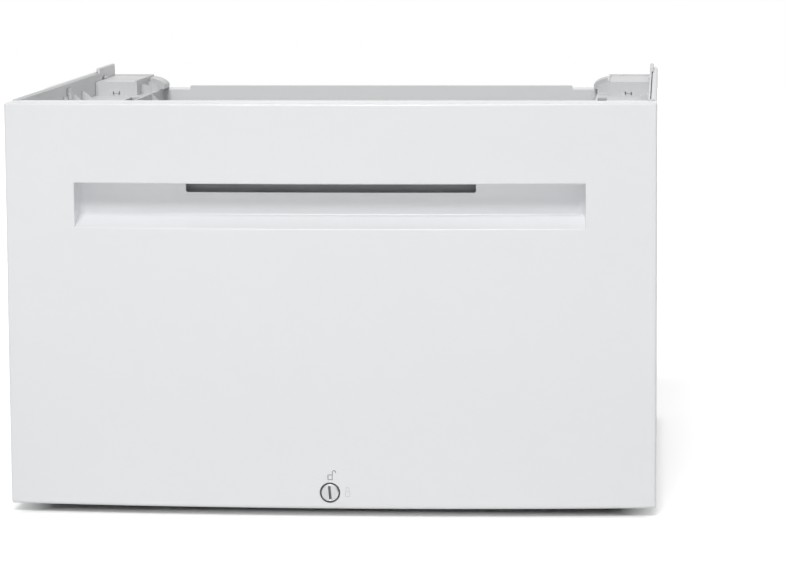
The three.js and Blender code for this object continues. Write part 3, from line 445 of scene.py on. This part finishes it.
def round_edges(bm, edges, offset, segments):
    """Rounds the edges of a mesh with arcs that start at an offset from them."""
    bmesh.ops.recalc_face_normals(bm, faces=bm.faces[:])
    bmesh.ops.bevel(bm, geom=edges, offset=offset, offset_type="OFFSET", segments=segments,
                    profile=0.5, affect="EDGES", material=-1, clamp_overlap=True)


# The flat face is cut into columns and rows. None of its even columns runs close by the ends of
# the slot and the corners of the recess, which have their own.
crowded = (SLOT_HALF, RECESS_HALF - CORNER_COLUMN)
columns = {round(FRONT_HIGH.x * i / FRONT_COLUMNS * 2, 6) for i in range(FRONT_COLUMNS // 2)}
columns = {x for x in columns
           if x < LOCK_PATCH or min(abs(x - place) for place in crowded) > COLUMN_CLEARANCE}
columns |= {SLOT_HALF - SLOT_CORNER, SLOT_HALF, RECESS_HALF, LOCK_CELL, 3 * LOCK_CELL, LOCK_PATCH}
columns |= {-x for x in columns}
rows = [LOCK_CENTRE + LOCK_CELL * i for i in range(-4, 5)]
rows += [RECESS_BOTTOM, SLOT_BOTTOM, SLOT_BOTTOM + SLOT_CORNER, RECESS_TOP]

# An open box with rounded edges is the shell before it is bowed.
front = bmesh.new()
bmesh.ops.create_cube(front, size=1.0)
bmesh.ops.scale(front, verts=front.verts,
                vec=(FRONT_HIGH.x - FRONT_LOW.x, FRONT_RIM_BACK - FRONT_EDGE_Y,
                     FRONT_HIGH.z - FRONT_LOW.z))
bmesh.ops.translate(front, verts=front.verts,
                    vec=(0, (FRONT_RIM_BACK + FRONT_EDGE_Y) / 2, (FRONT_HIGH.z + FRONT_LOW.z) / 2))
open_side = [f for f in front.faces if f.normal.y > 0.5]
bmesh.ops.delete(front, geom=open_side, context="FACES")
round_edges(front, [e for e in front.edges if not e.is_boundary], FRONT_ROUNDING, 4)
slice_sheet(front, 0, sorted(columns))
slice_sheet(front, 2, sorted(rows))

# The square patch round the lock gives way to a ring that ends in the round hole.
patch = [f for f in front.faces
         if within(f, LOCK_PATCH, LOCK_CENTRE - LOCK_PATCH, LOCK_CENTRE + LOCK_PATCH)]
patch_edges = {e for f in patch for e in f.edges if any(g not in patch for g in e.link_faces)}
bmesh.ops.delete(front, geom=patch, context="FACES")
hole = bmesh.ops.create_circle(
    front, cap_ends=False, radius=LOCK_HOLE, segments=LOCK_SIDES,
    matrix=Matrix.Translation((0, FRONT_EDGE_Y, LOCK_CENTRE))
    @ Matrix.Rotation(math.radians(90), 4, "X"))
hole_edges = {e for v in hole["verts"] for e in v.link_edges}
bmesh.ops.bridge_loops(front, edges=list(patch_edges | hole_edges))
bmesh.ops.recalc_face_normals(front, faces=front.faces[:])

# The recess is pushed in behind a rounded lip, and its floor climbs towards the back.
mouth = [f for f in front.faces if within(f, RECESS_HALF, RECESS_BOTTOM, RECESS_TOP)
         and f.calc_center_median().y < FRONT_EDGE_Y + SAME_PLACE]
for step in range(LIP_STEPS):
    start = math.radians(90 * step / LIP_STEPS)
    end = math.radians(90 * (step + 1) / LIP_STEPS)
    bmesh.ops.inset_region(
        front, faces=mouth, use_boundary=True, use_even_offset=True,
        thickness=LIP_ROUNDING * (math.sin(end) - math.sin(start)),
        depth=-LIP_ROUNDING * (math.cos(start) - math.cos(end)))
pushed = bmesh.ops.extrude_face_region(front, geom=mouth)
bmesh.ops.delete(front, geom=mouth, context="FACES")
back = [item for item in pushed["geom"] if isinstance(item, bmesh.types.BMVert)]
inner_bottom = min(v.co.z for v in back)
inner_half = max(v.co.x for v in back)
bmesh.ops.translate(front, verts=back, vec=(0, RECESS_DEPTH - LIP_ROUNDING, 0))
bmesh.ops.translate(front, verts=[v for v in back if v.co.z < inner_bottom + SAME_PLACE],
                    vec=(0, 0, SCOOP_RISE))
BACK_Y = FRONT_EDGE_Y + RECESS_DEPTH


def lies(edge, **places):
    """Whether both ends of an edge lie at the given places, such as x=0.2 or y=0.1."""
    return all(abs(abs(getattr(v.co, axis)) - abs(value)) < SAME_PLACE
               for v in edge.verts for axis, value in places.items())


def meets_floor(edge):
    """Whether a sloped floor and an upright wall of the recess meet behind its corners."""
    foremost = min(v.co.y for v in edge.verts)
    if len(edge.link_faces) != 2 or foremost < BACK_Y - RECESS_CORNER - 10 * SAME_PLACE:
        return False
    upright, level = sorted(abs(f.normal.z) for f in edge.link_faces)
    highest = max(v.co.z for v in edge.verts)
    return upright < 0.3 and level > 0.7 and highest < SLOT_BOTTOM - 0.005


def corner_reach(face):
    """How far a face's middle lies from the centre of the slot's lower corner arc beside it."""
    middle = face.calc_center_median()
    across = abs(middle.x) - (SLOT_HALF - SLOT_CORNER)
    down = SLOT_BOTTOM + SLOT_CORNER - middle.z
    return math.hypot(across, down) if across > 0 and down > 0 else 0


def in_slot(face):
    """Whether a face of the recess's back wall lies in the finger slot's square outline."""
    at_back = face.calc_center_median().y > BACK_Y - SAME_PLACE
    return at_back and within(face, SLOT_HALF, SLOT_BOTTOM, RECESS_TOP)


# The finger slot has round lower corners, and the recess's inner edges are rounded after it.
for side in (-1, 1):
    for cut in range(CORNER_CUTS):
        turn = math.radians(90 * (cut + 0.5) / CORNER_CUTS)
        outwards = Vector((side * math.cos(turn), 0, -math.sin(turn)))
        arc_centre = Vector((side * (SLOT_HALF - SLOT_CORNER), BACK_Y, SLOT_BOTTOM + SLOT_CORNER))
        cell = [f for f in front.faces if in_slot(f) and 0 < corner_reach(f)
                and f.calc_center_median().x * side > 0]
        around = {e for f in cell for e in f.edges} | {v for f in cell for v in f.verts}
        bmesh.ops.bisect_plane(front, geom=cell + list(around), dist=1e-7,
                               plane_co=arc_centre + outwards * SLOT_CORNER, plane_no=outwards)
finger = [f for f in front.faces if in_slot(f) and corner_reach(f) < SLOT_CORNER]
bmesh.ops.delete(front, geom=finger, context="FACES")
round_edges(front, [e for e in front.edges if lies(e, x=inner_half, y=BACK_Y)], RECESS_CORNER, 6)
bmesh.ops.recalc_face_normals(front, faces=front.faces[:])
round_edges(front, [e for e in front.edges if meets_floor(e)], SCOOP_ROUNDING, 5)

# Last the whole front is bowed, all but the back edge of its rim.
for vert in front.verts:
    if vert.co.y < FRONT_RIM_BACK - SAME_PLACE:
        vert.co.y += bow_y(vert.co.x) - FRONT_EDGE_Y

GLOSS_WHITE = (0.84, 0.85, 0.865)
gloss = Finish("front_gloss", GLOSS_WHITE, 0.2)
gloss.grain(scale=18, depth=0.00004, detail=1.0)
gloss.clouds(scale=7, low=0.17, high=0.24)

shell = make_piece(front, "front_moulding", gloss.material, "drawer")
wall = shell.modifiers.new("wall", "SOLIDIFY")
wall.thickness = FRONT_WALL
wall.offset = -1
rims = shell.modifiers.new("rim_rounding", "BEVEL")
rims.limit_method = "ANGLE"
rims.angle_limit = RIM_ANGLE
rims.width = RIM_ROUNDING
rims.segments = 2
weighted = shell.modifiers.new("even_normals", "WEIGHTED_NORMAL")
weighted.keep_sharp = True
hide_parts("drawer_front")

# Padlock marks printed beside the lock: an open one above it and a faint closed one to its
# right, each a frame for the body and half a ring for the bow.
PRINT_THICKNESS = 0.00003
PRINT_CLEARANCE = 0.00002
PRINT_STROKE = 0.0007
PRINT_GREY = (0.22, 0.22, 0.23)
FAINT_GREY = (0.66, 0.67, 0.68)
OPEN_MARK = {"middle": 0.0002, "low": 0.0270, "width": 0.0046, "height": 0.0051,
             "bow_middle": 0.00385, "bow_radius": 0.00185, "legs": (0.0022, 0.0006)}
CLOSED_MARK = {"middle": 0.0163, "low": 0.0113, "width": 0.0046, "height": 0.0052,
               "bow_middle": 0.0163, "bow_radius": 0.00175, "legs": (0.0024, 0.0024)}


def padlock_mark(name, mark, material):
    """A printed padlock; its places are from the middle and the bottom edge of the front."""
    bm = bmesh.new()
    upright = Matrix.Rotation(math.radians(90), 4, "X")
    low = FRONT_LOW.z + mark["low"]
    top = low + mark["height"]
    bmesh.ops.create_grid(bm, x_segments=4, y_segments=4, size=0.5, matrix=upright)
    bmesh.ops.scale(bm, verts=bm.verts, vec=(mark["width"], 1, mark["height"]))
    bmesh.ops.translate(bm, verts=bm.verts, vec=(mark["middle"], 0, (low + top) / 2))
    inner = bm.faces[:]
    bmesh.ops.inset_region(bm, faces=inner, use_boundary=True, thickness=PRINT_STROKE)
    bmesh.ops.delete(bm, geom=inner, context="FACES")
    bow_centre = top + max(mark["legs"])
    for side, leg in zip((-1, 1), mark["legs"]):
        x = mark["bow_middle"] + side * (mark["bow_radius"] - PRINT_STROKE / 2)
        strip = bmesh.ops.create_grid(bm, x_segments=1, y_segments=1, size=0.5, matrix=upright)
        bmesh.ops.scale(bm, verts=strip["verts"], vec=(PRINT_STROKE, 1, leg))
        bmesh.ops.translate(bm, verts=strip["verts"], vec=(x, 0, bow_centre - leg / 2))
    ring = bmesh.ops.create_circle(bm, cap_ends=False, radius=mark["bow_radius"], segments=32,
                                   matrix=upright)
    lower = [v for v in ring["verts"] if v.co.z < -1e-6]
    bmesh.ops.delete(bm, geom=lower, context="VERTS")
    arc = [e for e in bm.edges if e.is_wire]
    widened = bmesh.ops.extrude_edge_only(bm, edges=arc)
    inside = [item for item in widened["geom"] if isinstance(item, bmesh.types.BMVert)]
    shrink = 1 - PRINT_STROKE / mark["bow_radius"]
    bmesh.ops.scale(bm, verts=inside, vec=(shrink, 1, shrink))
    bow = {v for e in arc for v in e.verts} | set(inside)
    bmesh.ops.translate(bm, verts=list(bow), vec=(mark["bow_middle"], 0, bow_centre))
    for vert in bm.verts:
        vert.co.y = bow_y(vert.co.x) - PRINT_CLEARANCE
    for face in bm.faces:
        if face.normal.y > 0:
            face.normal_flip()
    printed = make_piece(bm, name, material, "drawer")
    printed.data.shade_flat()
    film = printed.modifiers.new("film", "SOLIDIFY")
    film.thickness = PRINT_THICKNESS
    film.offset = 1


PADLOCKS = {"open_mark": (OPEN_MARK, PRINT_GREY), "closed_mark": (CLOSED_MARK, FAINT_GREY)}
for name, (mark, grey) in PADLOCKS.items():
    ink = Finish(name + "_ink", grey, 0.5)
    ink.grain(scale=2500, depth=0.000004)
    ink.clouds(scale=300, low=0.45, high=0.55)
    padlock_mark(name, mark, ink.material)


# ---- Grip pocket ----------------------------------------------------------------------------
# A trough of matt moulded plastic closes the finger slot from behind, and rises behind the ceiling
# of the recess to give the finger tips room. Its grey is painted shade for the inside of the slot.

# Painted shade: the pocket is coloured grey to darken the inside of the finger slot.
POCKET_SHADE_GREY = (0.44, 0.445, 0.45)
pocket = Finish("pocket_painted_shade", POCKET_SHADE_GREY, 0.55)
pocket.grain(scale=1500, depth=0.00003)
pocket.clouds(scale=30, low=0.48, high=0.62)
finish_node("grip_pocket", pocket.material)


# ---- Liner and tray -------------------------------------------------------------------------
# Folded 1 mm steel, powder coated like the walls. Six screws with pan heads hold the liner
# to the bosses of the front.

for name in ("front_liner", "tray_side_left", "tray_side_right", "tray_floor", "tray_back"):
    finish_node(name, enamel.material)

LINER_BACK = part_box("front_liner")[1].y
LINER_SCREW_SIDE = 0.045
LINER_SCREW_END = 0.032
LINER_SCREW_DROP = 0.086
LINER_SCREW_X = FRONT_HIGH.x - LINER_SCREW_SIDE
LINER_SCREW_HEIGHTS = (FRONT_LOW.z + LINER_SCREW_END, RECESS_TOP - LINER_SCREW_DROP,
                       FRONT_HIGH.z - LINER_SCREW_END)
liner_screws = bmesh.new()
for x in (-LINER_SCREW_X, LINER_SCREW_X):
    for z in LINER_SCREW_HEIGHTS:
        add_screw(liner_screws, (x, LINER_BACK, z))
make_piece(liner_screws, "liner_screws", zinc.material, "drawer")


# ---- Coin lock ------------------------------------------------------------------------------
# A bush holds a turned and nickel-plated cylinder with a slot for a coin. The bush's black is
# painted shade for the gap round the lock; the cylinder's white chamfer ring is a painted
# highlight, and its darker slot is painted shade.

CHAMFER_START = 0.0071
CHAMFER_SOFT = 0.0003
COIN_SLOT_HALF = (0.00095, 0.0063)
COIN_SLOT_TILT = math.radians(5)
BUSH_EDGE = 0.0002
CYLINDER_EDGE = 0.0005
# Painted shade: the coin slot is coloured darker than the nickel.
COIN_SLOT_SHADE = (0.16, 0.16, 0.165)
# A painted highlight: the white ring on the cylinder's chamfer.
CHAMFER_HIGHLIGHT = (0.92, 0.92, 0.925)
# The bush's black is painted shade for the gap round the lock.
BUSH_SHADE_BLACK = (0.07, 0.07, 0.075)
NICKEL_GREY = (0.56, 0.565, 0.575)

nickel = Finish("lock_nickel", NICKEL_GREY, 0.34, metallic=1.0)
nickel.grain(scale=1500, depth=0.000006)
nickel.clouds(scale=120, low=0.28, high=0.42)
key_face = nickel.add("ShaderNodeMapping", vector_type="TEXTURE")
key_face.inputs["Location"].default_value = (0, 0, LOCK_CENTRE)
key_face.inputs["Rotation"].default_value = (0, -COIN_SLOT_TILT, 0)
nickel.link(nickel.place, key_face.inputs["Vector"])
key_axes = nickel.add("ShaderNodeSeparateXYZ")
nickel.link(key_face.outputs["Vector"], key_axes.inputs[0])


def nickel_sum(operation, first, second=None, value=None):
    """The result of an operation on one or two values of the lock's face."""
    node = nickel.add("ShaderNodeMath", operation=operation)
    nickel.link(first, node.inputs[0])
    if second is not None:
        nickel.link(second, node.inputs[1])
    if value is not None:
        node.inputs[1].default_value = value
    return node.outputs[0]


across = nickel_sum("ABSOLUTE", key_axes.outputs["X"])
along = nickel_sum("ABSOLUTE", key_axes.outputs["Z"])
slot_shade_mask = nickel_sum("MULTIPLY", nickel_sum("LESS_THAN", across, value=COIN_SLOT_HALF[0]),
                    nickel_sum("LESS_THAN", along, value=COIN_SLOT_HALF[1]))
squares = [nickel_sum("MULTIPLY", reach, reach) for reach in (across, along)]
radius = nickel_sum("SQRT", nickel_sum("ADD", *squares))
# The ring of the chamfer is painted white, as a highlight.
chamfer_highlight = nickel.add("ShaderNodeMapRange")
chamfer_highlight.inputs["From Min"].default_value = CHAMFER_START
chamfer_highlight.inputs["From Max"].default_value = CHAMFER_START + CHAMFER_SOFT
nickel.link(radius, chamfer_highlight.inputs["Value"])
nickel.tint(chamfer_highlight.outputs["Result"], CHAMFER_HIGHLIGHT)
# The coin slot is painted darker, as shade in the cut.
slot_painted_shade = nickel.add("ShaderNodeMix", data_type="RGBA")
slot_painted_shade.inputs["B"].default_value = (*COIN_SLOT_SHADE, 1.0)
nickel.link(nickel.shader.inputs["Base Color"].links[0].from_socket, slot_painted_shade.inputs["A"])
nickel.link(slot_shade_mask, slot_painted_shade.inputs["Factor"])
nickel.link(slot_painted_shade.outputs["Result"], nickel.shader.inputs["Base Color"])

# Painted shade: the bush is coloured black to stand in for the shadow gap round the lock.
bush_painted_shade = Finish("bush_painted_shade", BUSH_SHADE_BLACK, 0.28)
bush_painted_shade.grain(scale=1500, depth=0.000006)
bush_painted_shade.clouds(scale=150, low=0.22, high=0.34)

finish_node("lock_bush", bush_painted_shade.material, edge=BUSH_EDGE)
finish_node("lock_cylinder", nickel.material, edge=CYLINDER_EDGE, segments=3)
for name in ("lock_nut", "lock_cam", "cam_screw"):
    finish_node(name, zinc.material)


# ---- Floor, light and camera ----------------------------------------------------------------
# A white studio sweep: one soft lamp high in front and a weaker one behind, in an evenly
# white room whose two sides are hung with grey cloth, so that the edges stand out.

FLOOR_HALF = 6.0
FLOOR_WHITE = 0.8
FLOOR_LIFT = 0.52
SHADE_REACH = (-0.035, 0.008)
FAR_LIFT = 0.6
FAR_REACH = (0.9, 2.6)
ROOM_LIGHT = 0.38
CLOTH_REACH = (0.55, 0.95)
CLOTH_SHARE = 0.35


def join(tree, operation, first, second):
    """The result of an operation on two values."""
    node = tree.nodes.new("ShaderNodeMath")
    node.operation = operation
    tree.links.new(first, node.inputs[0])
    tree.links.new(second, node.inputs[1])
    return node.outputs[0]


def shown_rays(tree):
    """Masks of the rays from the camera, and of these with those that metal or glass sends on."""
    path = tree.nodes.new("ShaderNodeLightPath")
    mirrored = join(tree, "MAXIMUM", path.outputs["Is Glossy Ray"],
                    path.outputs["Is Transmission Ray"])
    camera_ray = path.outputs["Is Camera Ray"]
    return camera_ray, join(tree, "MAXIMUM", camera_ray, mirrored)


def map_range(tree, source, reach, values):
    """A value that runs from one end to the other while its source crosses a reach."""
    ramp = tree.nodes.new("ShaderNodeMapRange")
    ramp.inputs["From Min"].default_value, ramp.inputs["From Max"].default_value = reach
    ramp.inputs["To Min"].default_value, ramp.inputs["To Max"].default_value = values
    tree.links.new(source, ramp.inputs["Value"])
    return ramp.outputs["Result"]


# Seen by the camera, the floor glows all round the object and more so far off, so that it is
# white there; under the object it keeps its shade.
sheet = bmesh.new()
bmesh.ops.create_grid(sheet, x_segments=1, y_segments=1, size=FLOOR_HALF)
floor_mesh = bpy.data.meshes.new("floor")
sheet.to_mesh(floor_mesh)
sheet.free()
floor = bpy.data.objects.new("floor", floor_mesh)
bpy.context.scene.collection.objects.link(floor)
floor_paint = bpy.data.materials.new("floor_white")
floor_paint.use_nodes = True
paint = floor_paint.node_tree
paint_shader = paint.nodes["Principled BSDF"]
paint_shader.inputs["Base Color"].default_value = (FLOOR_WHITE, FLOOR_WHITE, FLOOR_WHITE, 1)
paint_shader.inputs["Roughness"].default_value = 0.9
paint_shader.inputs["Emission Color"].default_value = (1, 1, 1, 1)
spot = paint.nodes.new("ShaderNodeTexCoord")
distance = paint.nodes.new("ShaderNodeVectorMath")
distance.operation = "LENGTH"
paint.links.new(spot.outputs["Object"], distance.inputs[0])
folded = paint.nodes.new("ShaderNodeVectorMath")
folded.operation = "ABSOLUTE"
paint.links.new(spot.outputs["Object"], folded.inputs[0])
outside = paint.nodes.new("ShaderNodeVectorMath")
outside.operation = "SUBTRACT"
outside.inputs[1].default_value = (cad_box[1].x, cad_box[1].y, 0)
paint.links.new(folded.outputs["Vector"], outside.inputs[0])
gap = paint.nodes.new("ShaderNodeSeparateXYZ")
paint.links.new(outside.outputs["Vector"], gap.inputs[0])
from_sides = join(paint, "MAXIMUM", gap.outputs["X"], gap.outputs["Y"])
near = map_range(paint, from_sides, SHADE_REACH, (0.0, FLOOR_LIFT))
far = map_range(paint, distance.outputs["Value"], FAR_REACH, (0.0, FAR_LIFT))
floor_rays = shown_rays(paint)[1]
lift = join(paint, "MULTIPLY", floor_rays, join(paint, "ADD", near, far))
paint.links.new(lift, paint_shader.inputs["Emission Strength"])
floor_mesh.materials.append(floor_paint)

# The room is plain white to the camera. As a light it is weaker, and there and in reflections it
# has the grey cloth at both sides.
world = bpy.data.worlds.new("studio")
bpy.context.scene.world = world
world.use_nodes = True
sky = world.node_tree
backdrop = sky.nodes["Background"]
backdrop.inputs["Color"].default_value = (1, 1, 1, 1)
camera_rays, seen_rays = shown_rays(sky)
direction = sky.nodes.new("ShaderNodeTexCoord")
sky_axes = sky.nodes.new("ShaderNodeSeparateXYZ")
sky.links.new(direction.outputs["Generated"], sky_axes.inputs[0])
sideways = sky.nodes.new("ShaderNodeMath")
sideways.operation = "ABSOLUTE"
sky.links.new(sky_axes.outputs["X"], sideways.inputs[0])
cloth = map_range(sky, sideways.outputs[0], CLOTH_REACH, (1.0, CLOTH_SHARE))
room = join(sky, "MULTIPLY", cloth, map_range(sky, seen_rays, (0.0, 1.0), (ROOM_LIGHT, 1.0)))
sky.links.new(join(sky, "MAXIMUM", room, camera_rays), backdrop.inputs["Strength"])


def lamp(name, place, aim, size, power):
    """A soft box that stands at a place and points at an aim, with its power in watts."""
    light = bpy.data.lights.new(name, "AREA")
    light.shape = "RECTANGLE"
    light.size, light.size_y = size
    light.energy = power
    holder = bpy.data.objects.new(name, light)
    holder.location = place
    holder.rotation_euler = (Vector(aim) - Vector(place)).to_track_quat("-Z", "Y").to_euler()
    bpy.context.scene.collection.objects.link(holder)


lamp("key", place=(-0.4, -4.2, 4.9), aim=(0, -0.1, 0.25), size=(2.2, 2.2), power=226)
lamp("back", place=(1.2, 3.8, 3.8), aim=(0, 0.2, 0.2), size=(2.0, 1.6), power=26)

PICTURE_WIDTH = 786
FOCAL_PIXELS = 3192.4
CAMERA_PLACE = (0.3049, -3.1644, 0.5778)
CAMERA_TURN = 3.729
CAMERA_DIP = 6.998
CAMERA_ROLL = -0.22
camera_data = bpy.data.cameras.new("camera")
camera_data.sensor_width = 36
camera_data.lens = FOCAL_PIXELS / PICTURE_WIDTH * camera_data.sensor_width
camera_data.shift_x = -0.08
camera_data.shift_y = -0.02
camera_data.clip_end = 50
camera = bpy.data.objects.new("camera", camera_data)
bpy.context.scene.collection.objects.link(camera)
camera.location = CAMERA_PLACE
camera.rotation_euler = (
    Matrix.Rotation(math.radians(CAMERA_TURN), 3, "Z")
    @ Matrix.Rotation(math.radians(90 - CAMERA_DIP), 3, "X")
    @ Matrix.Rotation(math.radians(CAMERA_ROLL), 3, "Z")).to_euler()
bpy.context.scene.camera = camera
bpy.context.scene.view_settings.view_transform = "Standard"
